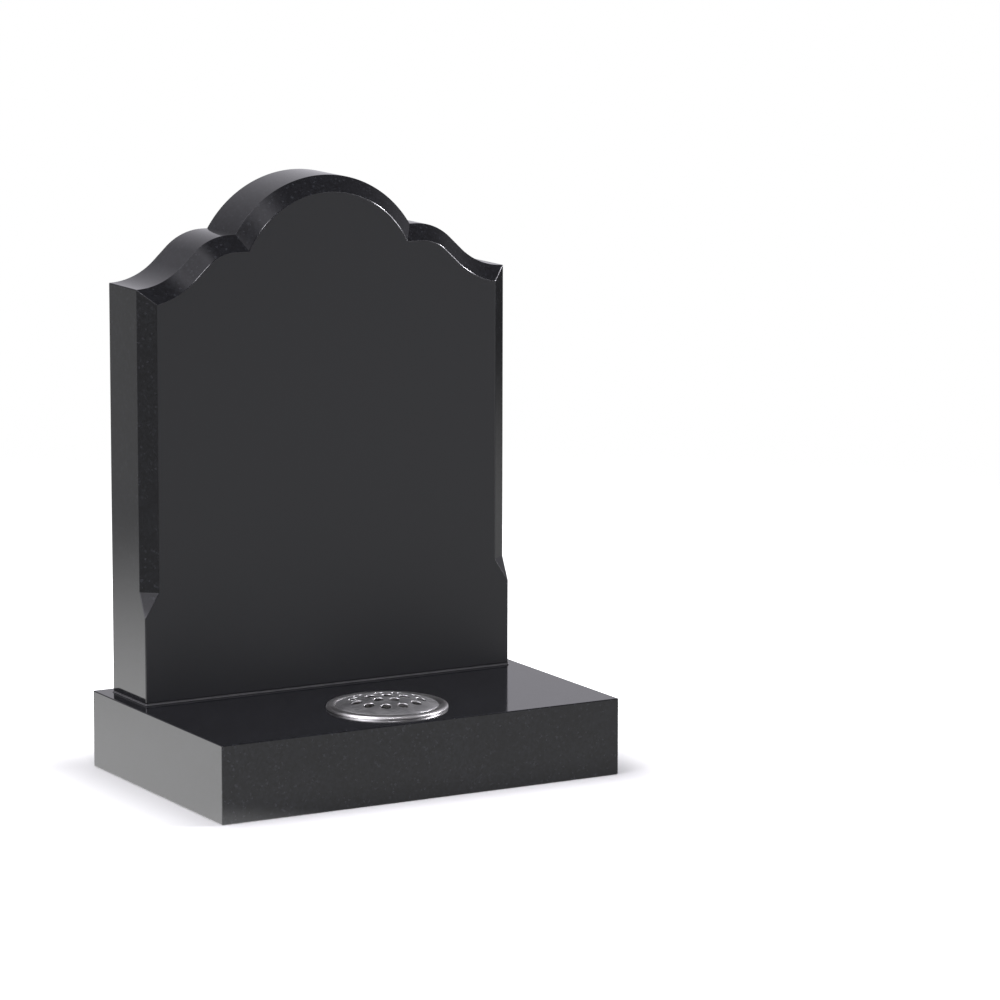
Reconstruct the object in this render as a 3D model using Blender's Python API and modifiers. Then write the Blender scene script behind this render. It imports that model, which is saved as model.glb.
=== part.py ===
"""A lawn headstone: an upright tablet with an arched top and ogee shoulders, bedded on a low base.

Both stones are polished. The tablet has a stopped chamfer round its front edge. The ledge of the base is
bored for a spun aluminium flower container, which hangs by its flange under a loose domed lid.
Metres, +Z up. The front faces -Y, and the origin is in the middle of the underside.
"""

from math import asin, atan2, cos, pi, sin, sqrt

import bmesh
import bpy
import numpy as np

# Base stone
BASE_WIDTH = 0.580
BASE_DEPTH = 0.379
BASE_HEIGHT = 0.102
BASE_ARRIS = 0.0012

# Bed of jointing compound between the stones
BED_THICKNESS = 0.002
BED_BEAD = 0.0015

# Tablet, with its margins on the base
TABLET_THICKNESS = 0.099
TABLET_HEIGHT = 0.675
SIDE_MARGIN = 0.019
BACK_MARGIN = 0.0225
TABLET_ARRIS = 0.0012

# Outline of the tablet's top
ARCH_CHORD = 0.2575
ARCH_RISE = 0.0713
NOTCH_LEDGE = 0.008
OGEE_DROP = 0.0632
OGEE_STRAIGHT = 0.025
OGEE_TURNING_POINT = 0.45

# Chamfer round the tablet's front edge, and where it stops
CHAMFER_WIDTH = 0.021
CHAMFER_DEPTH = 0.0165
STOP_HEIGHT = 0.114
STOP_LENGTH = 0.031

# Flower container, hung in the bored ledge
CONTAINER_RADIUS = 0.060
CONTAINER_WALL = 0.0015
CONTAINER_DEPTH = 0.086
CONTAINER_CORNER = 0.006
CONTAINER_FRONT_MARGIN = 0.101
BORE_CLEARANCE = 0.0015
SEAT_WIDTH = 0.009
RIM_WIDTH = 0.012
RIM_HEIGHT = 0.005

# Lid, with rings of round stem holes
LID_CLEARANCE = 0.0008
LID_THICKNESS = 0.0016
LID_RISE = 0.012
STEM_HOLE_RADIUS = 0.007
STEM_HOLE_RINGS = ((0.0, 1), (0.022, 6), (0.044, 12))

# Air left between pieces that touch
TOUCH = 0.0003

# Facets of round stretches
ARCH_STEPS = 26
OGEE_STEPS = 12
TURNED_STEPS = 48
RIM_STEPS = 8
DOME_STEPS = 7
HOLE_STEPS = 16

# Places that follow from the sizes
BED_BOTTOM = BASE_HEIGHT + TOUCH
BED_TOP = BASE_HEIGHT + BED_THICKNESS
TABLET_FOOT = BED_TOP + TOUCH
TABLET_HALF_WIDTH = BASE_WIDTH / 2 - SIDE_MARGIN
TABLET_BACK = BASE_DEPTH / 2 - BACK_MARGIN
TABLET_FRONT = TABLET_BACK - TABLET_THICKNESS
CONTAINER_Y = -BASE_DEPTH / 2 + CONTAINER_FRONT_MARGIN
SEAT_RADIUS = CONTAINER_RADIUS - CONTAINER_WALL + SEAT_WIDTH
SEAT_TOP = TOUCH + CONTAINER_WALL

GRANITE = ("polished black granite", (0.024, 0.025, 0.028), 0.08, 0.0)
JOINTING = ("dark jointing compound", (0.060, 0.060, 0.062), 0.3, 0.0)
SPUN_ALUMINIUM = ("spun aluminium", (0.78, 0.78, 0.79), 0.3, 1.0)
BRUSHED_ALUMINIUM = ("brushed aluminium", (0.74, 0.74, 0.75), 0.35, 1.0)


def clear_scene():
    for thing in list(bpy.data.objects):
        bpy.data.objects.remove(thing)


def new_collection(name):
    collection = bpy.data.collections.new(name)
    bpy.context.scene.collection.children.link(collection)
    return collection


def material(node, recipe):
    """A material for one node: (finish, colour, roughness, metallic)."""
    finish, colour, roughness, metallic = recipe
    made = bpy.data.materials.new(f"{node} {finish}")
    made.use_nodes = True
    shader = made.node_tree.nodes["Principled BSDF"]
    shader.inputs["Base Color"].default_value = (*colour, 1.0)
    shader.inputs["Roughness"].default_value = roughness
    shader.inputs["Metallic"].default_value = metallic
    return made


def move_to(thing, collection):
    for holder in list(thing.users_collection):
        holder.objects.unlink(thing)
    collection.objects.link(thing)


def new_object(name, mesh, collection, recipe=None):
    thing = bpy.data.objects.new(name, mesh)
    collection.objects.link(thing)
    if recipe:
        mesh.materials.append(material(name, recipe))
    return thing


def arc(centre, radius, start, end, steps):
    """Points round a centre, with angles measured from straight up towards +X."""
    turn = np.linspace(start, end, steps + 1)
    return np.stack([centre[0] + radius * np.sin(turn), centre[1] + radius * np.cos(turn)], axis=1)


def top_outline(inset):
    """Right half of the tablet's top edge from crown to shoulder corner, moved inwards by the inset.

    Each stretch is an arc whose radius changes by the inset, so the chamfer keeps one width all along:
    the crown arch, the level ledge at the notch, and the ogee's round arc, straight and hollow arc.
    """
    half_chord = ARCH_CHORD / 2
    radius = (half_chord**2 + ARCH_RISE**2) / (2 * ARCH_RISE)
    arch_centre = TABLET_HEIGHT - radius
    notch_height = TABLET_HEIGHT - ARCH_RISE
    notch_rise = notch_height - inset - arch_centre
    notch_x = sqrt((radius - inset) ** 2 - notch_rise**2)
    arch = arc((0, arch_centre), radius - inset, 0, atan2(notch_x, notch_rise), ARCH_STEPS)

    ogee_start = half_chord + NOTCH_LEDGE
    ogee_run = TABLET_HALF_WIDTH - ogee_start
    turn = 2 * atan2(OGEE_DROP, ogee_run + OGEE_STRAIGHT)
    radii = (ogee_run - OGEE_STRAIGHT * cos(turn)) / sin(turn)
    round_radius = radii * OGEE_TURNING_POINT
    hollow_radius = radii - round_radius
    round_centre = (ogee_start, notch_height - round_radius)
    hollow_centre = (TABLET_HALF_WIDTH, notch_height - OGEE_DROP + hollow_radius)
    corner_turn = asin(inset / (hollow_radius + inset))
    round_arc = arc(round_centre, round_radius - inset, 0, turn, OGEE_STEPS)
    hollow_arc = arc(hollow_centre, hollow_radius + inset, pi + turn, pi + corner_turn, OGEE_STEPS)
    return np.concatenate([arch, round_arc, hollow_arc])


def tablet_ring(upper, lower):
    """One closed ring of the tablet, from two pairs (inset, y): above the chamfer's stop, and below it."""
    top = top_outline(upper[0])
    side = TABLET_HALF_WIDTH
    low_side = side - lower[0]
    stop_top = (side - upper[0], STOP_HEIGHT + STOP_LENGTH)
    below = np.array([stop_top, (low_side, STOP_HEIGHT), (low_side, lower[0])])
    right = np.concatenate([top, below])
    depth = np.concatenate([np.full(len(top) + 1, upper[1]), np.full(2, lower[1])])
    right = np.column_stack([right[:, 0], depth, TABLET_FOOT + right[:, 1]])
    left = right[:0:-1] * (-1, 1, 1)
    return np.concatenate([right, left])


def make_tablet(collection):
    """A loft of four rings from back to front: back arris, back edge, chamfer's outer edge, front face."""
    arris = TABLET_ARRIS
    back_face = (arris, TABLET_BACK)
    back_edge = (0.0, TABLET_BACK - arris)
    rings = [
        tablet_ring(back_face, back_face),
        tablet_ring(back_edge, back_edge),
        tablet_ring((0.0, TABLET_FRONT + CHAMFER_DEPTH), (0.0, TABLET_FRONT + arris)),
        tablet_ring((CHAMFER_WIDTH, TABLET_FRONT), (arris, TABLET_FRONT)),
    ]
    shape = bmesh.new()
    rows = [[shape.verts.new(point) for point in ring] for ring in rings]
    count = len(rows[0])
    for near, far in zip(rows, rows[1:]):
        for i in range(count):
            j = (i + 1) % count
            shape.faces.new((near[i], near[j], far[j], far[i]))
    shape.faces.new(rows[0])
    shape.faces.new(rows[-1])
    bmesh.ops.recalc_face_normals(shape, faces=shape.faces)
    mesh = bpy.data.meshes.new("tablet")
    shape.to_mesh(mesh)
    shape.free()
    return new_object("tablet", mesh, collection, GRANITE)


def make_box(name, low, high, collection, recipe):
    """A primitive cube made to fit between two corners."""
    bpy.ops.mesh.primitive_cube_add(size=1.0)
    box = bpy.context.object
    box.name = name
    box.data.name = name
    move_to(box, collection)
    size = np.subtract(high, low)
    centre = np.add(high, low) / 2
    for vertex in box.data.vertices:
        vertex.co = centre + np.array(vertex.co) * size
    box.data.materials.append(material(name, recipe))
    return box


def make_cylinder(name, radius, bottom, top, place, steps):
    bpy.ops.mesh.primitive_cylinder_add(vertices=steps, radius=radius, depth=top - bottom)
    cylinder = bpy.context.object
    cylinder.name = name
    cylinder.location = (place[0], place[1], (top + bottom) / 2)
    return cylinder


def keep_as_cutter(thing, cutters):
    move_to(thing, cutters)
    thing.hide_render = True
    thing.display_type = "WIRE"


def cut(thing, cutter):
    boolean = thing.modifiers.new(f"cut {cutter.name}", "BOOLEAN")
    boolean.operation = "DIFFERENCE"
    boolean.solver = "EXACT"
    boolean.object = cutter


def make_base(collection, cutters):
    low = (-BASE_WIDTH / 2, -BASE_DEPTH / 2, 0.0)
    high = (BASE_WIDTH / 2, BASE_DEPTH / 2, BASE_HEIGHT)
    base = make_box("base", low, high, collection, GRANITE)
    arris = base.modifiers.new("arris", "BEVEL")
    arris.width = BASE_ARRIS
    arris.segments = 1
    reach = BASE_HEIGHT / 2
    bore_radius = CONTAINER_RADIUS + BORE_CLEARANCE
    place = (0.0, CONTAINER_Y)
    bore = make_cylinder("container bore", bore_radius, -reach, BASE_HEIGHT + reach, place, TURNED_STEPS)
    keep_as_cutter(bore, cutters)
    cut(base, bore)
    return base


def make_joint_bed(collection):
    """A thin slab under the tablet's foot, with a sloping bead round it."""
    low = (-TABLET_HALF_WIDTH, TABLET_FRONT, BED_BOTTOM)
    high = (TABLET_HALF_WIDTH, TABLET_BACK, BED_TOP)
    bed = make_box("joint_bed", low, high, collection, JOINTING)
    middle = (TABLET_FRONT + TABLET_BACK) / 2
    for vertex in bed.data.vertices:
        if vertex.co.z < (BED_BOTTOM + BED_TOP) / 2:
            vertex.co.x += BED_BEAD if vertex.co.x > 0 else -BED_BEAD
            vertex.co.y += BED_BEAD if vertex.co.y > middle else -BED_BEAD
    return bed


def turn_profile(name, profile, collection, recipe):
    """A solid turned about the container's axis from points (radius, height above the base)."""
    mesh = bpy.data.meshes.new(name)
    edges = [(i, i + 1) for i in range(len(profile) - 1)]
    mesh.from_pydata([(radius, 0.0, height) for radius, height in profile], edges, [])
    turned = new_object(name, mesh, collection, recipe)
    turned.location = (0.0, CONTAINER_Y, BASE_HEIGHT)
    screw = turned.modifiers.new("turn", "SCREW")
    screw.steps = TURNED_STEPS
    screw.render_steps = TURNED_STEPS
    screw.use_merge_vertices = True
    screw.merge_threshold = 0.00001
    mesh.shade_smooth()
    return turned


def make_flower_container(collection):
    """A spun pot, hollow and open: rolled rim, seat for the lid, straight wall and flat floor."""
    outer = CONTAINER_RADIUS
    inner = outer - CONTAINER_WALL
    floor = -CONTAINER_DEPTH
    corner = CONTAINER_CORNER
    rim_middle = SEAT_RADIUS + RIM_WIDTH / 2
    rim_turn = np.linspace(-pi / 2, pi / 2, RIM_STEPS + 1)
    rim_rise = RIM_HEIGHT - SEAT_TOP
    rim = [(rim_middle + RIM_WIDTH / 2 * sin(a), SEAT_TOP + rim_rise * cos(a)) for a in rim_turn]
    profile = [(0.0, floor + CONTAINER_WALL), (inner - corner, floor + CONTAINER_WALL)]
    profile += [(inner, floor + CONTAINER_WALL + corner), (inner, SEAT_TOP)]
    profile += rim
    profile += [(SEAT_RADIUS + RIM_WIDTH, TOUCH), (outer, TOUCH)]
    profile += [(outer, floor + corner), (outer - corner, floor), (0.0, floor)]
    return turn_profile("flower_container", profile, collection, SPUN_ALUMINIUM)


def make_container_lid(collection, cutters):
    """A loose domed lid, resting on the container's seat and pierced by rings of stem holes."""
    edge = SEAT_RADIUS - LID_CLEARANCE
    foot = SEAT_TOP + TOUCH
    radius = (edge**2 + LID_RISE**2) / (2 * LID_RISE)
    centre = (0.0, foot + LID_THICKNESS + LID_RISE - radius)
    inner = radius - LID_THICKNESS
    inner_edge = inner * sin(asin(edge / radius))
    outer_arc = arc(centre, radius, 0, asin(edge / radius), DOME_STEPS)
    inner_arc = arc(centre, inner, asin(inner_edge / inner), 0, DOME_STEPS)
    foot_points = np.array([[edge, foot], [inner_edge, foot]])
    profile = np.concatenate([outer_arc, foot_points, inner_arc])
    profile[0, 0] = 0.0
    profile[-1, 0] = 0.0
    lid = turn_profile("container_lid", profile.tolist(), collection, BRUSHED_ALUMINIUM)
    top = BASE_HEIGHT + foot + 2 * LID_RISE
    bottom = BASE_HEIGHT + foot - LID_RISE
    for ring_radius, count in STEM_HOLE_RINGS:
        for number in range(count):
            turn = 2 * pi * number / count
            place = (ring_radius * sin(turn), CONTAINER_Y + ring_radius * cos(turn))
            name = f"stem hole {ring_radius * 1000:.0f} {number}"
            hole = make_cylinder(name, STEM_HOLE_RADIUS, bottom, top, place, HOLE_STEPS)
            keep_as_cutter(hole, cutters)
            cut(lid, hole)
    return lid


def build():
    clear_scene()
    collection = new_collection("headstone")
    cutters = new_collection("cutters")
    make_base(collection, cutters)
    make_joint_bed(collection)
    make_tablet(collection)
    make_flower_container(collection)
    make_container_lid(collection, cutters)


build()
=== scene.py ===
"""The looks of the headstone: fine stones, joint, flower container, lid, materials and studio."""

from math import atan2, cos, pi, radians, sin, sqrt, tan

import bmesh
import bpy
import numpy as np
from mathutils import Matrix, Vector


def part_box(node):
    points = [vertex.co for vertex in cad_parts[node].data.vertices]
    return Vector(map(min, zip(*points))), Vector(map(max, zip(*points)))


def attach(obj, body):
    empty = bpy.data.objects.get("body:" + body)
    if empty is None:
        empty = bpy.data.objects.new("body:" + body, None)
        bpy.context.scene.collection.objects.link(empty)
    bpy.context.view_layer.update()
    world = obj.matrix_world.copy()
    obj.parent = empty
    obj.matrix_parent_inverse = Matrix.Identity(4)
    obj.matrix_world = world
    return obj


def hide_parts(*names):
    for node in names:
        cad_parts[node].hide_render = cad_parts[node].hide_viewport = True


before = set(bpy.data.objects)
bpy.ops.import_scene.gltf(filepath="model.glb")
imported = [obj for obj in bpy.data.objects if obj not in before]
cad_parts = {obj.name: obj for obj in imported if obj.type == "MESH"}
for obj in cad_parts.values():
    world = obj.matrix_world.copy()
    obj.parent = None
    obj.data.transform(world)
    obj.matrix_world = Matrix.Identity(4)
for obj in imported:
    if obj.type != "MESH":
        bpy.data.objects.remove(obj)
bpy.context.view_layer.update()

# Outline of the tablet's top, as the masons cut it
ARCH_CHORD = 0.2575
ARCH_RISE = 0.0713
NOTCH_LEDGE = 0.008
OGEE_DROP = 0.0632
OGEE_STRAIGHT = 0.025
OGEE_TURNING_POINT = 0.45

# Chamfer and where it stops, measured up from the tablet's foot
CHAMFER_WIDTH = 0.021
CHAMFER_DEPTH = 0.0165
STOP_HEIGHT = 0.114
STOP_LENGTH = 0.031
SMALL_ARRIS = 0.0012

# Rounding left by the polisher's pads: the tablet's edges, the chamfer's inner edge, the base's edges
TABLET_ROUND = 0.0011
INNER_ROUND = 0.0035
BASE_ROUND = 0.0012

# Distance from a rounding to the line of points that keeps the face next to it flat
SUPPORT = 0.0003

# Points closer than this are merged, and edges sharper than this angle in degrees stay hard
MERGE_DISTANCE = 0.000002
SHARP_ANGLE = 28.0

# Container, lid and stem holes. TOUCH is the gap between the container's flange and the stone
CONTAINER_WALL = 0.0015
CONTAINER_CORNER = 0.006
SEAT_CORNER = 0.001
RIM_WIDTH = 0.012
SEAT_WIDTH = 0.009
TOUCH = 0.0003
BORE_CLEARANCE = 0.0015
LID_THICKNESS = 0.0016
LID_RISE = 0.012
LIP = 0.0006
STEM_HOLE_RADIUS = 0.007
STEM_RINGS = ((0.0, 1), (0.022, 6), (0.044, 12))

# Cells round the stem holes: radii between their rings, and points round each radius and along a side
CELL_EDGES = (0.0, 0.011, 0.033, 0.055)
CELL_STEPS = (48, 96, 96)
CELL_SIDE_STEPS = 6
BORDER_RADII = (0.058, 0.062)

# Bead of jointing compound: its rise up the tablet, its reach in under it, its thin skin on it, and
# its width as a mean share and waves: how many round the foot, how strong, and where they start
BEAD_RISE = 0.0005
BEAD_TUCK = 0.002
BEAD_SKIN = 0.0001
BEAD_MEAN = 0.84
BEAD_WAVES = ((23, 0.07, 0.0), (61, 0.05, 1.3), (140, 0.04, 0.4))

# Steps along curves and straight sides
ARCH_STEPS = 64
OGEE_STEPS = 36
ROUND_STEPS = 6
STOP_STEPS = 8
SIDE_STEPS = 30
BEAD_SIDE_STEPS = 90
TURNED_STEPS = 144
RIM_STEPS = 24
WALL_STEPS = 12

# Camera, from a fit to the photograph's edges
CAMERA_AT = (-2.9325, -5.5047, 1.4486)
CAMERA_AZIMUTH = -29.79
CAMERA_ELEVATION = 9.89
CAMERA_ROLL = 0.137
CAMERA_LENS = 174.6
SENSOR = 36.0

# Granite: tones of ground, crystal and fleck, patterns in repeats per metre, and the polish
TABLET_TONES = ("#0b0b0d", "#17181b", "#1f2023")
BASE_TONES = ("#0b0b0d", "#1b1c20", "#212226")
CRYSTAL_SCALE = 300.0
FLECK_SCALE = 420.0
FLECK_CHANCE = (0.92, 1.0)
CLOUD_SCALE = 14.0
SWELL_SCALE = 16.0
SWELL_HEIGHT = 0.00005
POLISH_ROUGHNESS = (0.05, 0.10)

# Honed front face of the tablet, and the depth behind it over which the polish takes over
HONED_ROUGHNESS = 0.48
HONED_TONE = "#0f1012"
HONED_DEPTH = (0.0001, 0.0004)

WHITE = (1.0, 1.0, 1.0, 1.0)

# White paper floor. It has a painted glow of its own, no lamp's, that rises away from the stone, so that
# the stone's shadow stays short
PAPER_TONE = "#bebebe"
FLOOR_RADIUS = 6.0
FLOOR_LEVEL = -0.0005
FLOOR_FADE = (0.9, 2.6)
NEAR_GLOW = 0.05
GLOW_REACH = 0.20

# Painted light on the floor: its own glow as the stone sees it, in the scene's own units of brightness
POOL_CENTRE = (-0.3, 0.0, 0.0)
POOL_REACH = (0.2, 2.1)
POOL_FRONT_EDGE = (-0.45, -0.22)
POOL_SIDE_EDGE = (-0.06, 0.08)
POOL_SIDE = (-0.707, 0.707, 0.0)
POOL_BRIGHTNESS = 1.72
FRONT_EDGE = (-0.35, -0.05)
FRONT_LEFT_EDGE = (-1.1, -0.35)
FRONT_BRIGHTNESS = 0.47
FLOOR_BRIGHTNESS = 0.44
RIGHT_EDGE = (1.9, 4.1)
RIGHT_DIMMING = -0.35

# Soft box that lights the paper
TOP_LIGHT_AT = (-0.5, 0.0, 2.6)
TOP_LIGHT_SIZE = 2.6
TOP_LIGHT_POWER = 62.0

# Soft screens and small lamps round the stone: direction, brightness and how tight each one is
ROOM_BRIGHTNESS = 0.20
ROOM_TINT = (1.0, 0.98, 1.06, 1.0)
SCREENS = (
    ((0.45, 0.86, 0.18), 0.47, 4.0),
    ((-0.27, -0.635, 0.72), 1.50, 60.0),
    ((-0.95, -0.26, 0.20), 8.00, 14.0),
    ((0.98, 0.08, 0.194), 0.15, 16.0),
)
LAMPS = (
    ((0.850, -0.330, 0.410), 300.0, 800.0),
    ((0.915, -0.310, 0.256), 40.0, 500.0),
    ((0.936, -0.215, 0.278), 60.0, 800.0),
    ((-0.214, -0.818, 0.530), 60.0, 800.0),
    ((-0.510, 0.070, 0.850), 5.0, 25.0),
)

# Places read from the frame
BASE_LOW, BASE_HIGH = (np.array(corner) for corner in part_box("base"))
TABLET_LOW, TABLET_HIGH = (np.array(corner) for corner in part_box("tablet"))
BED_LOW, BED_HIGH = (np.array(corner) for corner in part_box("joint_bed"))
POT_LOW, POT_HIGH = (np.array(corner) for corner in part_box("flower_container"))
LID_LOW, LID_HIGH = (np.array(corner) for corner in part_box("container_lid"))
BASE_TOP = BASE_HIGH[2]
FOOT = TABLET_LOW[2]
HALF_WIDTH = TABLET_HIGH[0]
HEIGHT = TABLET_HIGH[2] - FOOT
AXIS = np.array([(POT_LOW[0] + POT_HIGH[0]) / 2, (POT_LOW[1] + POT_HIGH[1]) / 2])
RIM_RADIUS = (POT_HIGH[0] - POT_LOW[0]) / 2
SEAT_RADIUS = RIM_RADIUS - RIM_WIDTH
POT_RADIUS = SEAT_RADIUS - SEAT_WIDTH + CONTAINER_WALL
LID_RADIUS = (LID_HIGH[0] - LID_LOW[0]) / 2


def mesh_object(name, points, faces, replaced, material):
    """Put points and faces into one mesh at the origin that stands for a node of the frame."""
    mesh = bpy.data.meshes.new(name)
    mesh.from_pydata(points.reshape(-1, 3).tolist(), [], faces)
    shape = bmesh.new()
    shape.from_mesh(mesh)
    bmesh.ops.remove_doubles(shape, verts=shape.verts, dist=MERGE_DISTANCE)
    bmesh.ops.recalc_face_normals(shape, faces=shape.faces)
    shape.to_mesh(mesh)
    shape.free()
    mesh.shade_smooth()
    mesh.set_sharp_from_angle(angle=radians(SHARP_ANGLE))
    mesh.materials.append(material)
    piece = bpy.data.objects.new(name, mesh)
    bpy.context.scene.collection.objects.link(piece)
    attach(piece, "root")
    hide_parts(replaced)


def grid_faces(rows, columns, close_rows=False, close_columns=True, start=0):
    """Four-sided faces of a grid of points, as an array of point numbers."""
    number = start + np.arange(rows * columns).reshape(rows, columns)
    if close_rows:
        number = np.vstack([number, number[:1]])
    if close_columns:
        number = np.hstack([number, number[:, :1]])
    corners = (number[:-1, :-1], number[:-1, 1:], number[1:, 1:], number[1:, :-1])
    return np.stack(corners, axis=-1).reshape(-1, 4).tolist()


def arc(centre, radius, start, end, steps):
    """Points at the centre + radius * (sin t, cos t), with t measured from straight up towards +X."""
    turn = np.linspace(start, end, steps + 1)
    return np.stack([centre[0] + radius * np.sin(turn), centre[1] + radius * np.cos(turn)], axis=1)


def top_outline(inset):
    """Right half of the tablet's top edge, from the crown to the shoulder, offset inwards by the inset.

    The crown is an arc of radius R - inset. It ends on the ledge, a level line at the notch's height
    less the inset. The ogee is a round arc of radius r1 - inset, a straight, and a hollow arc of radius
    r2 + inset, and both arcs turn by one angle, 2 * atan(drop / (run + straight)). A small corner arc,
    tangent to the hollow arc and to the upright side, ends the line. Points close to its two ends keep
    the faces next to it flat.
    """
    half_chord = ARCH_CHORD / 2
    radius = (half_chord**2 + ARCH_RISE**2) / (2 * ARCH_RISE)
    arch_centre = HEIGHT - radius
    notch_height = HEIGHT - ARCH_RISE
    notch_rise = notch_height - inset - arch_centre
    notch_x = sqrt((radius - inset) ** 2 - notch_rise**2)
    arch = arc((0, arch_centre), radius - inset, 0, atan2(notch_x, notch_rise), ARCH_STEPS)

    ogee_start = half_chord + NOTCH_LEDGE
    ogee_run = HALF_WIDTH - ogee_start
    turn = 2 * atan2(OGEE_DROP, ogee_run + OGEE_STRAIGHT)
    radii = (ogee_run - OGEE_STRAIGHT * cos(turn)) / sin(turn)
    round_radius = radii * OGEE_TURNING_POINT
    hollow_radius = radii - round_radius
    round_arc = arc((ogee_start, notch_height - round_radius), round_radius - inset, 0, turn, OGEE_STEPS)
    hollow_centre = np.array([HALF_WIDTH, notch_height - OGEE_DROP + hollow_radius])
    reach = hollow_radius + inset + TABLET_ROUND
    lean = np.arcsin((inset + TABLET_ROUND) / reach)
    hollow_arc = arc(hollow_centre, hollow_radius + inset, pi + turn, pi + lean, OGEE_STEPS)
    near = SUPPORT / hollow_radius
    near_end = arc(hollow_centre, hollow_radius + inset, pi + lean + near, pi + lean, 1)
    corner_centre = hollow_centre - reach * np.array([sin(lean), cos(lean)])
    corner = arc(corner_centre, TABLET_ROUND, lean, pi / 2, ROUND_STEPS)
    upright = corner[-1:] - (0, SUPPORT)
    return np.concatenate([arch, round_arc, hollow_arc[:-1], near_end, corner[1:], upright])


def corner_rows(corner, heading, turn, radius):
    """Rows (inset, y) round one edge, which is cut back along both lines and rounded.

    The outermost rows are the support lines. With t the length of the tangent, radius * tan(turn / 2),
    the arc is corner - heading * t + radius * (sin(a) * heading + (1 - cos(a)) * inward).
    """
    heading = np.array(heading)
    inward = np.array([-heading[1], heading[0]])
    leaving = heading * cos(turn) + inward * sin(turn)
    tangent = radius * tan(turn / 2)
    angle = np.linspace(0, turn, ROUND_STEPS + 1)[:, None]
    start = np.array(corner) - heading * tangent
    rounded = start + radius * (np.sin(angle) * heading + (1 - np.cos(angle)) * inward)
    return np.vstack([start - heading * SUPPORT, rounded, rounded[-1] + leaving * SUPPORT])


def tablet_section(share):
    """Rows (inset, y) from the back face over the side and the chamfer to the front face.

    The share, from 0 to 1, is how much of the chamfer is cut: the edge keeps only a small arris at 0.
    """
    back, front = TABLET_HIGH[1], TABLET_LOW[1]
    width = SMALL_ARRIS + (CHAMFER_WIDTH - SMALL_ARRIS) * share
    depth = SMALL_ARRIS + (CHAMFER_DEPTH - SMALL_ARRIS) * share
    lean = atan2(width, depth)
    back_edge = corner_rows((0.0, back), (-1.0, 0.0), pi / 2, TABLET_ROUND)
    outer_edge = corner_rows((0.0, front + depth), (0.0, -1.0), lean, TABLET_ROUND)
    inner_round = TABLET_ROUND + (INNER_ROUND - TABLET_ROUND) * share
    down_chamfer = (sin(lean), -cos(lean))
    inner_edge = corner_rows((width, front), down_chamfer, pi / 2 - lean, inner_round)
    return np.vstack([back_edge, outer_edge, inner_edge])


def make_tablet(material):
    """The upright stone: one section carried along the outline, with flat faces at the back and front.

    The chamfer's share falls evenly from 1 to 0 along the stop, with support lines at both ends.
    """
    full = tablet_section(1.0)
    rows = len(full)
    top = np.stack([top_outline(inset) for inset in full[:, 0]])
    top_points = np.dstack([top[:, :, 0], np.repeat(full[:, 1:], top.shape[1], axis=1), top[:, :, 1]])

    nudge = SUPPORT / STOP_LENGTH
    shares = np.array([1, 1, *np.linspace(1 - nudge, nudge, STOP_STEPS), 0, 0, 0])
    heights = STOP_HEIGHT + STOP_LENGTH * shares
    heights[0] += SUPPORT
    heights[-2:] = STOP_HEIGHT - SUPPORT, TABLET_ROUND + SUPPORT
    stop = np.stack([tablet_section(share) for share in shares], axis=1)
    heights = np.broadcast_to(heights, (rows, len(shares)))
    stop_points = np.dstack([HALF_WIDTH - stop[:, :, 0], stop[:, :, 1], heights])

    low = stop[:, -1:]
    angle = np.linspace(0, pi / 2, ROUND_STEPS + 1)
    foot_x = HALF_WIDTH - low[:, :, 0] - TABLET_ROUND * (1 - np.cos(angle))
    foot_z = low[:, :, 0] + TABLET_ROUND * (1 - np.sin(angle))
    foot_points = np.dstack([foot_x, np.broadcast_to(low[:, :, 1], foot_x.shape), foot_z])

    right = np.concatenate([top_points, stop_points, foot_points], axis=1)
    left = right[:, :0:-1] * (-1, 1, 1)
    points = np.concatenate([right, left], axis=1) + (0, 0, FOOT)
    columns = points.shape[1]
    faces = grid_faces(rows, columns)
    faces += [list(range(columns)), list(range((rows - 1) * columns, rows * columns))]
    mesh_object("upright_tablet", points, faces, "tablet", material)


def rounded_rectangle(low, high, inset, radius, side_steps):
    """A rectangle's outline offset inwards: four straight sides joined by quarter arcs of one radius."""
    centre = (np.array(low[:2]) + high[:2]) / 2
    half = (np.array(high[:2]) - low[:2]) / 2 - inset - radius
    quarter = np.linspace(0, pi / 2, ROUND_STEPS + 1)
    share = np.array([0.001, *np.linspace(0, 1, side_steps + 1)[1:-1], 0.999])[:, None]
    runs = []
    for number in range(4):
        turn = quarter + number * pi / 2
        sign = np.array([(1, 1), (-1, 1), (-1, -1), (1, -1)][number])
        following = np.array([(-1, 1), (-1, -1), (1, -1), (1, 1)][number])
        corner = centre + half * sign + radius * np.stack([np.cos(turn), np.sin(turn)], axis=1)
        outward = np.array([cos(turn[-1]), sin(turn[-1])]) * radius
        start = centre + half * sign + outward
        end = centre + half * following + outward
        runs += [corner, start + (end - start) * share]
    return np.concatenate(runs)


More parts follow.
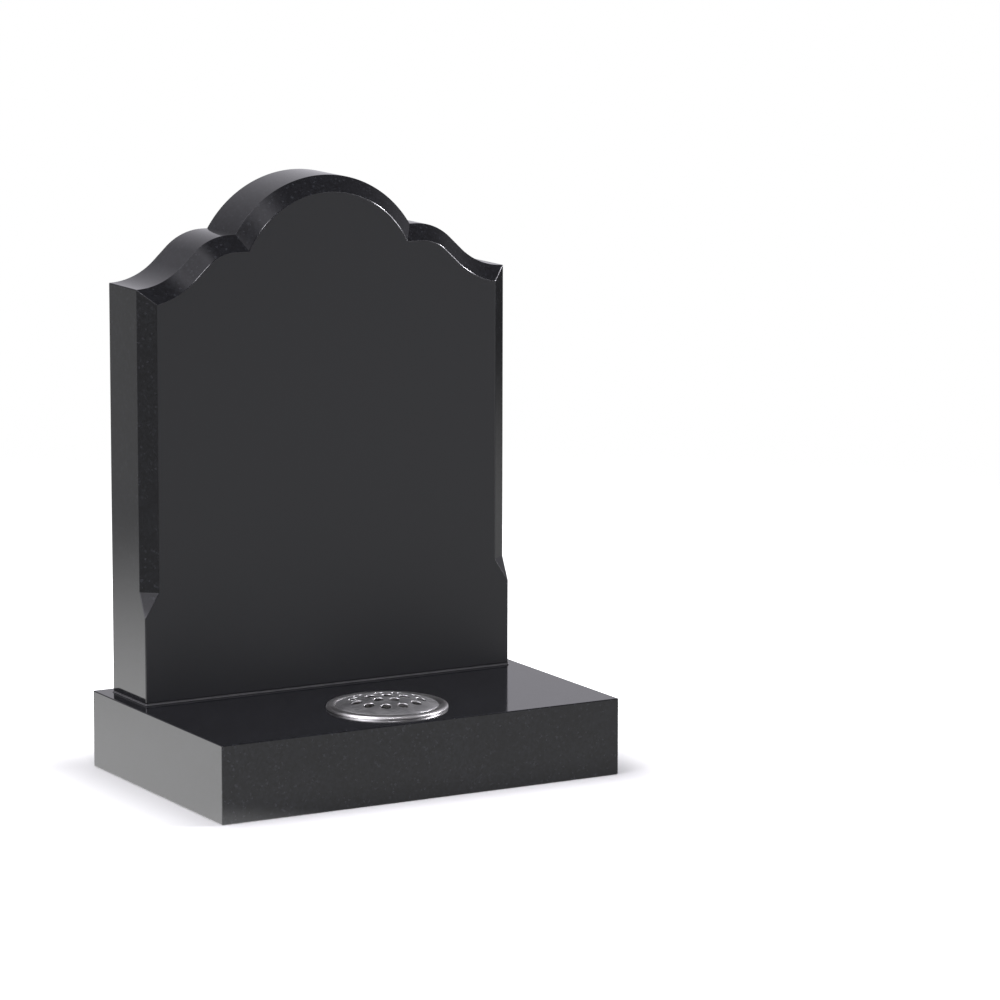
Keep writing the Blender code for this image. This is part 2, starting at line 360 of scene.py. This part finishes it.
def make_base(material):
    """The base stone: rings of points up the bore, over the top, down the sides and back below."""
    bore = POT_RADIUS + BORE_CLEARANCE
    outline = rounded_rectangle(BASE_LOW, BASE_HIGH, 0.0, BASE_ROUND, SIDE_STEPS)
    direction = outline - AXIS
    direction /= np.linalg.norm(direction, axis=1)[:, None]

    def bore_ring(radius, height):
        """Points round the container's axis, one straight in from each point of the outline."""
        return np.column_stack([AXIS + direction * radius, np.full(len(direction), height)])

    def edge_ring(inset, height):
        """The outline offset inwards, at one height."""
        ring = rounded_rectangle(BASE_LOW, BASE_HIGH, inset, BASE_ROUND, SIDE_STEPS)
        return np.column_stack([ring, np.full(len(ring), height)])

    top, bottom = BASE_TOP, BASE_LOW[2]
    rings = [bore_ring(bore, bottom + SMALL_ARRIS), bore_ring(bore, top - SMALL_ARRIS)]
    rings += [bore_ring(bore + SMALL_ARRIS, top), edge_ring(BASE_ROUND + SUPPORT, top)]
    angles = np.linspace(0, pi / 2, ROUND_STEPS + 1)
    inward, outward = BASE_ROUND * (1 - np.cos(angles)), BASE_ROUND * (1 - np.sin(angles))
    rings += [edge_ring(inset, top - drop) for inset, drop in zip(outward, inward)]
    rings += [edge_ring(0.0, top - BASE_ROUND - SUPPORT), edge_ring(0.0, bottom + BASE_ROUND + SUPPORT)]
    rings += [edge_ring(inset, bottom + rise) for inset, rise in zip(inward, outward)]
    rings += [edge_ring(BASE_ROUND + SUPPORT, bottom), bore_ring(bore + SMALL_ARRIS, bottom)]
    points = np.stack(rings)
    faces = grid_faces(len(rings), len(outline), close_rows=True)
    mesh_object("base_slab", points, faces, "base", material)


def make_bead(material):
    """The joint: a thin bed with a hollow bead struck round the tablet's foot.

    The bead's foot stands out by a width that wavers along its length, a mean plus sines, and its face
    is a quarter of a hollow ellipse.
    """
    bead = BED_HIGH[0] - HALF_WIDTH
    top = FOOT + BEAD_RISE
    bottom = BED_LOW[2]
    ring = rounded_rectangle(TABLET_LOW, TABLET_HIGH, 0.0, TABLET_ROUND, BEAD_SIDE_STEPS)
    along = np.linspace(0, 2 * pi, len(ring), endpoint=False)
    waver = BEAD_MEAN + sum(size * np.sin(count * along + start) for count, size, start in BEAD_WAVES)
    angle = np.linspace(0, pi / 2, 9)
    heights = [BED_HIGH[2], BED_HIGH[2]] + list(top - (top - bottom) * np.sin(angle))
    reaches = [-BEAD_TUCK, BEAD_SKIN] + list(BEAD_SKIN + bead * (1 - np.cos(angle)))
    rings = []
    for reach, height in zip(reaches, heights):
        full = rounded_rectangle(TABLET_LOW, TABLET_HIGH, -reach, TABLET_ROUND, BEAD_SIDE_STEPS)
        share = waver if reach > 2 * BEAD_SKIN else np.ones(len(ring))
        flat = ring + (full - ring) * share[:, None]
        rings.append(np.column_stack([flat, np.full(len(ring), height)]))
    points = np.stack(rings)
    count = len(ring)
    faces = grid_faces(len(rings), count)
    faces += [list(range(count)), list(range((len(rings) - 1) * count, len(rings) * count))]
    mesh_object("jointing_bead", points, faces, "joint_bed", material)


def turned(profile):
    """Points of a profile (radius, height above the base) carried round the container's axis."""
    profile = np.asarray(profile)
    turn = np.linspace(0, 2 * pi, TURNED_STEPS, endpoint=False)
    x = AXIS[0] + profile[:, :1] * np.cos(turn)
    y = AXIS[1] + profile[:, :1] * np.sin(turn)
    z = np.broadcast_to(BASE_TOP + profile[:, 1:], x.shape)
    return np.dstack([x, y, z])


def make_container(material):
    """The spun pot: floor, rounded corner, wall, seat, rolled rim, flange and the wall's outside."""
    floor = POT_LOW[2] - BASE_TOP
    rim_height = POT_HIGH[2] - BASE_TOP
    inner = POT_RADIUS - CONTAINER_WALL
    seat = TOUCH + CONTAINER_WALL
    corner = CONTAINER_CORNER
    inside = arc((inner - corner, floor + CONTAINER_WALL + corner), corner, pi, pi / 2, 10)
    outside = arc((POT_RADIUS - corner, floor + corner), corner, pi / 2, pi, 10)
    shoulder = arc((inner + SEAT_CORNER, seat - SEAT_CORNER), SEAT_CORNER, -pi / 2, 0, 5)
    roll = np.linspace(-pi / 2, pi / 2, RIM_STEPS + 1)
    middle = RIM_RADIUS - RIM_WIDTH / 2
    rim_rise = (rim_height - seat) * np.cos(roll)
    rim = np.column_stack([middle + RIM_WIDTH / 2 * np.sin(roll), seat + rim_rise])
    wall_heights = np.linspace(floor + 2 * corner, seat - 4 * SEAT_CORNER, WALL_STEPS)
    wall = np.column_stack([np.full(WALL_STEPS, inner), wall_heights])
    near_axis = 0.00001
    profile = np.vstack([
        (near_axis, floor + CONTAINER_WALL), inside, wall, shoulder, (SEAT_RADIUS - SUPPORT, seat), rim,
        (RIM_RADIUS, TOUCH), (POT_RADIUS, TOUCH), outside, (near_axis, floor),
    ])
    points = turned(profile)
    rows, columns = points.shape[:2]
    faces = grid_faces(rows, columns)
    faces += [list(range(columns)), list(range((rows - 1) * columns, rows * columns))]
    mesh_object("spun_container", points, faces, "flower_container", material)


def polar(radius, angle):
    """Points radius * (cos, sin) of an angle, flat and about the container's axis."""
    return np.stack([radius * np.cos(angle), radius * np.sin(angle)], axis=-1)


def cell_outline(inner, outer, middle, half_angle, inner_steps, outer_steps):
    """Outline of one cell of the lid: an arc, a line outwards, an arc back and a line inwards."""
    start, end = middle - half_angle, middle + half_angle
    sides = CELL_SIDE_STEPS
    along_in = polar(inner, np.linspace(start, end, inner_steps + 1)[:-1])
    out = polar(np.linspace(inner, outer, sides + 1)[:-1], np.full(sides, end))
    along_out = polar(outer, np.linspace(end, start, outer_steps + 1)[:-1])
    back = polar(np.linspace(outer, inner, sides + 1)[:-1], np.full(sides, start))
    return np.concatenate([along_in, out, along_out, back])


def dome(flat):
    """Height of the lid's upper face above its edge: a cap, R - sqrt(R^2 - r^2) below its crown."""
    radius = (LID_RADIUS**2 + LID_RISE**2) / (2 * LID_RISE)
    return LID_RISE - radius + np.sqrt(radius**2 - (flat**2).sum(axis=-1))


def make_lid(material):
    """The pierced lid. Each stem hole is the middle of a cell of rings that run from the upper face,
    over the hole's rolled lip and down its wall, to the lower face. A border joins the outer cells to
    the edge. Cells that meet have the same points along the arc between them.
    """
    foot = LID_LOW[2]
    points, faces = [], []

    def add_rings(flats, drops):
        """Rings of points, each a drop below the domed upper face, joined into one sleeve."""
        start = sum(len(block) for block in points)
        rows = []
        for flat, drop in zip(flats, drops):
            rows.append(np.column_stack([flat + AXIS, foot + LID_THICKNESS + dome(flat) - drop]))
        points.append(np.concatenate(rows))
        faces.extend(grid_faces(len(flats), len(flats[0]), start=start))

    for ring, (distance, count) in enumerate(STEM_RINGS):
        inner, outer = CELL_EDGES[ring], CELL_EDGES[ring + 1]
        for number in range(count):
            middle = pi / 2 - 2 * pi * number / count
            if count == 1:
                around = np.linspace(0, 2 * pi, CELL_STEPS[0], endpoint=False)
                outline = polar(outer, around + pi / 2 + pi / 6)
            else:
                steps = CELL_STEPS[ring - 1] // count, CELL_STEPS[ring] // count
                outline = cell_outline(inner, outer, middle, pi / count, *steps)
            hole = polar(np.array([distance]), np.array([middle]))
            spoke = outline - hole
            spoke /= np.linalg.norm(spoke, axis=1)[:, None]
            margins = (2 * LIP, LIP, 0.3 * LIP, 0.0)
            circles = [hole + spoke * (STEM_HOLE_RADIUS + margin) for margin in margins]
            flats = [outline] + circles + circles[::-1] + [outline]
            drops = [0, 0, 0, 0.25 * LIP, LIP, LID_THICKNESS - LIP, LID_THICKNESS - 0.25 * LIP]
            drops += [LID_THICKNESS] * 3
            add_rings(flats, drops)

    around = np.linspace(0, 2 * pi, CELL_STEPS[-1], endpoint=False) + pi / 2 + pi / 12
    edge = (LID_RADIUS - LIP, LID_RADIUS - 0.3 * LIP, LID_RADIUS)
    border = np.array([CELL_EDGES[-1], *BORDER_RADII, *edge])
    radii = np.concatenate([border, border[::-1]])
    falls = np.array([0, 0, 0, 0, 0.2 * LIP, 0.8 * LIP])
    drops = np.concatenate([falls, LID_THICKNESS - falls[::-1]])
    add_rings([polar(radius, around) for radius in radii], drops)
    mesh_object("pierced_lid", np.concatenate(points), faces, "container_lid", material)


def linear(code):
    """Linear colour of an sRGB hex value."""
    channels = np.array([int(code[i:i + 2], 16) for i in (1, 3, 5)]) / 255
    low = channels / 12.92
    high = ((channels + 0.055) / 1.055) ** 2.4
    return (*np.where(channels <= 0.04045, low, high).tolist(), 1.0)


def add(tree, kind, inputs=None, **settings):
    """Add one node: settings are its properties, inputs are values or other nodes' output sockets."""
    node = tree.nodes.new(f"ShaderNode{kind}")
    for name, value in settings.items():
        setattr(node, name, value)
    for key, value in (inputs or {}).items():
        if isinstance(value, bpy.types.NodeSocket):
            tree.links.new(value, node.inputs[key])
        else:
            node.inputs[key].default_value = value
    return node


def ramp(tree, value, low, high, start=0.0, end=1.0, kind="LINEAR"):
    """A value's rise or fall from start at low to end at high, and level beyond both."""
    limits = {1: low, 2: high, 3: start, 4: end}
    return add(tree, "MapRange", {0: value, **limits}, interpolation_type=kind).outputs[0]


def smooth_rise(tree, value, low, high, start=0.0, end=1.0):
    """The same rise or fall as a smooth step."""
    return ramp(tree, value, low, high, start, end, "SMOOTHSTEP")


def mixed_colour(tree, share, first, second):
    """The first colour at a share of 0 and the second at 1."""
    return add(tree, "Mix", {0: share, 6: first, 7: second}, data_type="RGBA").outputs[2]


def new_material(name, roughness, ior=1.5, metallic=0.0):
    """A material with its Principled shader set to plain values, its node tree and that shader."""
    made = bpy.data.materials.new(name)
    made.use_nodes = True
    shader = made.node_tree.nodes["Principled BSDF"]
    shader.inputs["Roughness"].default_value = roughness
    shader.inputs["IOR"].default_value = ior
    shader.inputs["Metallic"].default_value = metallic
    return made, made.node_tree, shader


def polished_granite(name, tones, face_at=None):
    """Black granite, sawn, ground and polished: a wet-looking, near mirror skin over the crystals.

    Crystals are drawn about twice as coarse as the real ones, so that they show at a step or two.
    The tablet's front face, given by its place along Y, is honed, with one even tone and no mirroring.
    """
    made, tree, shader = new_material(name, 0.07, ior=1.46)
    ground, crystal, fleck = (linear(tone) for tone in tones)
    place = add(tree, "TexCoord").outputs["Object"]
    grains = add(tree, "TexVoronoi", {"Vector": place, "Scale": CRYSTAL_SCALE, "Randomness": 1.0})
    grain = add(tree, "SeparateColor", {0: grains.outputs["Color"]})
    clouding = {"Vector": place, "Scale": CLOUD_SCALE, "Detail": 3.0, "Roughness": 0.6}
    clouds = add(tree, "TexNoise", clouding)
    flecks = add(tree, "TexVoronoi", {"Vector": place, "Scale": FLECK_SCALE, "Randomness": 1.0})
    chance = add(tree, "SeparateColor", {0: flecks.outputs["Color"]})
    cloudy = add(tree, "Math", {0: grain.outputs[0], 1: clouds.outputs[0]}, operation="MULTIPLY")
    body = mixed_colour(tree, cloudy.outputs[0], ground, crystal)
    colour = mixed_colour(tree, ramp(tree, chance.outputs[0], *FLECK_CHANCE), body, fleck)
    roughness = ramp(tree, grain.outputs[1], 0.0, 1.0, *POLISH_ROUGHNESS)
    if face_at is not None:
        depth = add(tree, "SeparateXYZ", {0: place}).outputs["Y"]
        honed_from, honed_to = (face_at + behind for behind in HONED_DEPTH)
        on_face = ramp(tree, depth, honed_from, honed_to, 1.0, 0.0)
        roughness = add(tree, "Mix", {0: on_face, 2: roughness, 3: HONED_ROUGHNESS}).outputs[0]
        colour = mixed_colour(tree, on_face, colour, linear(HONED_TONE))
    tree.links.new(colour, shader.inputs["Base Color"])
    tree.links.new(roughness, shader.inputs["Roughness"])
    swell = add(tree, "TexNoise", {"Vector": place, "Scale": SWELL_SCALE, "Detail": 2.0})
    bump = add(tree, "Bump", {"Height": swell.outputs[0], "Strength": 1.0, "Distance": SWELL_HEIGHT})
    tree.links.new(bump.outputs[0], shader.inputs["Normal"])
    return made


def jointing_compound():
    """Dark resin jointing compound, struck with a wet finger: a soft gloss over a fine grit."""
    made, tree, shader = new_material("struck dark jointing compound", 0.22)
    place = add(tree, "TexCoord").outputs["Object"]
    clouds = add(tree, "TexNoise", {"Vector": place, "Scale": 90.0, "Detail": 4.0})
    colour = mixed_colour(tree, clouds.outputs[0], linear("#2b2b2c"), linear("#3d3d3e"))
    tree.links.new(colour, shader.inputs["Base Color"])
    grit = add(tree, "TexNoise", {"Vector": place, "Scale": 900.0, "Detail": 2.0})
    bump = add(tree, "Bump", {"Height": grit.outputs[0], "Strength": 0.4, "Distance": 0.0001})
    tree.links.new(bump.outputs[0], shader.inputs["Normal"])
    return made


def ringed_aluminium(name, tone, roughness, ring_spacing, depth):
    """Aluminium turned on a lathe: bright metal with fine rings about the container's axis."""
    made, tree, shader = new_material(name, roughness, metallic=1.0)
    place = add(tree, "TexCoord").outputs["Object"]
    stains = add(tree, "TexNoise", {"Vector": place, "Scale": 60.0, "Detail": 4.0})
    dull = ramp(tree, stains.outputs[0], 0.3, 0.7, roughness, roughness + 0.12)
    tree.links.new(dull, shader.inputs["Roughness"])
    colour = mixed_colour(tree, stains.outputs[0], linear(tone), linear("#c4c4c2"))
    tree.links.new(colour, shader.inputs["Base Color"])
    centred = add(tree, "Mapping", {0: place, 1: (-AXIS[0], -AXIS[1], 0.0), 3: (1.0, 1.0, 0.0)})
    distance = add(tree, "VectorMath", {0: centred.outputs[0]}, operation="LENGTH")
    pattern = {"W": distance.outputs["Value"], "Scale": 1 / ring_spacing, "Detail": 2.0}
    rings = add(tree, "TexNoise", pattern, noise_dimensions="1D")
    bump = add(tree, "Bump", {"Height": rings.outputs[0], "Strength": 1.0, "Distance": depth})
    tree.links.new(bump.outputs[0], shader.inputs["Normal"])
    return made


def floor_seen(tree, place):
    """What the camera sees: lamp-lit white paper with a painted glow of its own, rising away from the
    base's outline.
    """
    paper = add(tree, "BsdfDiffuse", {"Color": linear(PAPER_TONE)})
    base_corner = (BASE_HIGH[0], BASE_HIGH[1], 0.0)
    folded = add(tree, "VectorMath", {0: place}, operation="ABSOLUTE")
    past = add(tree, "VectorMath", {0: folded.outputs[0], 1: base_corner}, operation="SUBTRACT")
    outside = add(tree, "VectorMath", {0: past.outputs[0], 1: (0.0, 0.0, 0.0)}, operation="MAXIMUM")
    gap = add(tree, "VectorMath", {0: outside.outputs[0]}, operation="LENGTH")
    # Painted glow: weakest at the base's outline, where the paper shows the stone's shadow, and full
    # white by GLOW_REACH
    strength = smooth_rise(tree, gap.outputs["Value"], 0.0, GLOW_REACH, NEAR_GLOW, 1.0)
    glow = add(tree, "Emission", {"Color": WHITE, "Strength": strength})
    return add(tree, "AddShader", {0: paper.outputs[0], 1: glow.outputs[0]}).outputs[0]


def floor_mirrored(tree, place):
    """What the stone sees: painted light, the floor's own glow and not a lamp's: a bright pool behind
    its left end that ends softly in front and along a diagonal, an even light in front, and a dim one
    all over that falls off far to the right.
    """
    along = add(tree, "SeparateXYZ", {0: place})
    from_pool = add(tree, "VectorMath", {0: place, 1: POOL_CENTRE}, operation="DISTANCE")
    pool = smooth_rise(tree, from_pool.outputs["Value"], *POOL_REACH, POOL_BRIGHTNESS, 0.0)
    behind = smooth_rise(tree, along.outputs["Y"], *POOL_FRONT_EDGE)
    sideways = add(tree, "VectorMath", {0: place, 1: POOL_SIDE}, operation="DOT_PRODUCT")
    beside = smooth_rise(tree, sideways.outputs["Value"], *POOL_SIDE_EDGE)
    corner = add(tree, "Math", {0: behind, 1: beside}, operation="MULTIPLY")
    pool = add(tree, "Math", {0: pool, 1: corner.outputs[0]}, operation="MULTIPLY")
    front = smooth_rise(tree, along.outputs["Y"], *FRONT_EDGE, FRONT_BRIGHTNESS, 0.0)
    rightwards = smooth_rise(tree, along.outputs["X"], *FRONT_LEFT_EDGE)
    front = add(tree, "Math", {0: front, 1: rightwards}, operation="MULTIPLY")
    far_right = smooth_rise(tree, along.outputs["X"], *RIGHT_EDGE, 0.0, RIGHT_DIMMING)
    dim = add(tree, "Math", {0: far_right, 1: FLOOR_BRIGHTNESS}, operation="ADD")
    both = add(tree, "Math", {0: pool.outputs[0], 1: front.outputs[0]}, operation="ADD")
    total = add(tree, "Math", {0: both.outputs[0], 1: dim.outputs[0]}, operation="ADD")
    # The floor's painted glow, seen in the stone's reflections and lighting it
    return add(tree, "Emission", {"Color": WHITE, "Strength": total.outputs[0]}).outputs[0]


def make_floor():
    """A flat disc round the stone that glows with painted light of its own. To the camera it fades out
    into the white surround.
    """
    rings, columns = 24, 96
    turn = np.linspace(0, 2 * pi, columns, endpoint=False)
    reach = np.linspace(0.02, FLOOR_RADIUS, rings)[:, None]
    level = np.full((rings, columns), FLOOR_LEVEL)
    points = np.dstack([reach * np.cos(turn), reach * np.sin(turn), level])
    mesh = bpy.data.meshes.new("studio_floor")
    faces = grid_faces(rings, columns) + [list(range(columns))]
    mesh.from_pydata(points.reshape(-1, 3).tolist(), [], faces)
    made = bpy.data.materials.new("white paper floor")
    made.use_nodes = True
    tree = made.node_tree
    tree.nodes.clear()
    place = add(tree, "TexCoord").outputs["Object"]
    seen = floor_seen(tree, place)
    mirrored = floor_mirrored(tree, place)
    straight = add(tree, "LightPath").outputs["Is Camera Ray"]
    lit = add(tree, "MixShader", {0: straight, 1: mirrored, 2: seen})
    distance = add(tree, "VectorMath", {0: place}, operation="LENGTH")
    fade = smooth_rise(tree, distance.outputs["Value"], *FLOOR_FADE)
    gone = add(tree, "Math", {0: straight, 1: fade}, operation="MULTIPLY")
    clear = add(tree, "BsdfTransparent")
    mixed = add(tree, "MixShader", {0: gone.outputs[0], 1: lit.outputs[0], 2: clear.outputs[0]})
    add(tree, "OutputMaterial", {0: mixed.outputs[0]})
    mesh.materials.append(made)
    floor = bpy.data.objects.new("studio_floor", mesh)
    bpy.context.scene.collection.objects.link(floor)


def make_surround():
    """White where the camera looks past the stone. Light and reflections come from soft screens and
    small lamps over a dim room. Each adds its brightness times cos(angle to its direction) ** power.
    """
    world = bpy.data.worlds.new("studio surround")
    bpy.context.scene.world = world
    world.use_nodes = True
    tree = world.node_tree
    tree.nodes.clear()
    direction = add(tree, "TexCoord").outputs["Generated"]
    total = None
    for towards, strength, power in SCREENS + LAMPS:
        unit = np.array(towards) / np.linalg.norm(towards)
        dot = add(tree, "VectorMath", {0: direction, 1: unit.tolist()}, operation="DOT_PRODUCT")
        near = add(tree, "Math", {0: dot.outputs["Value"], 1: 0.0}, operation="MAXIMUM")
        lobe = add(tree, "Math", {0: near.outputs[0], 1: power}, operation="POWER")
        before = total.outputs[0] if total else ROOM_BRIGHTNESS
        total = add(tree, "Math", {0: lobe.outputs[0], 1: strength, 2: before}, operation="MULTIPLY_ADD")
    seen = add(tree, "LightPath").outputs["Is Camera Ray"]
    room = add(tree, "Background", {"Color": ROOM_TINT, "Strength": total.outputs[0]})
    white = add(tree, "Background", {"Color": WHITE, "Strength": 1.0})
    either = add(tree, "MixShader", {0: seen, 1: room.outputs[0], 2: white.outputs[0]})
    add(tree, "OutputWorld", {0: either.outputs[0]})


def make_top_light():
    """A soft box turned to the stone from above. It lights the paper and isn't mirrored in the stone."""
    light = bpy.data.lights.new("top light", "AREA")
    light.size = TOP_LIGHT_SIZE
    light.energy = TOP_LIGHT_POWER
    lamp = bpy.data.objects.new("top light", light)
    lamp.location = TOP_LIGHT_AT
    x, y, z = TOP_LIGHT_AT
    lamp.rotation_euler = (atan2(np.hypot(x, y), z), 0.0, atan2(x, -y))
    lamp.visible_glossy = False
    bpy.context.scene.collection.objects.link(lamp)


def make_camera():
    """The photographer's camera, turned about Z, tilted down, and rolled about its own line of sight."""
    data = bpy.data.cameras.new("camera")
    data.lens = CAMERA_LENS
    data.sensor_width = SENSOR
    camera = bpy.data.objects.new("camera", data)
    camera.location = CAMERA_AT
    heading = Matrix.Rotation(radians(CAMERA_AZIMUTH), 3, "Z")
    tilt = Matrix.Rotation(radians(90 - CAMERA_ELEVATION), 3, "X")
    roll = Matrix.Rotation(radians(CAMERA_ROLL), 3, "Z")
    camera.rotation_euler = (heading @ tilt @ roll).to_euler()
    bpy.context.scene.collection.objects.link(camera)
    bpy.context.scene.camera = camera


bpy.context.scene.view_settings.view_transform = "Standard"
make_camera()
make_tablet(polished_granite("polished black granite, tablet", TABLET_TONES, face_at=TABLET_LOW[1]))
make_base(polished_granite("polished black granite, base", BASE_TONES))
make_bead(jointing_compound())
make_container(ringed_aluminium("spun aluminium", "#e4e2e0", 0.28, 0.0006, 0.00002))
make_lid(ringed_aluminium("brushed aluminium", "#d6d6d6", 0.36, 0.0004, 0.00003))
make_floor()
make_surround()
make_top_light()
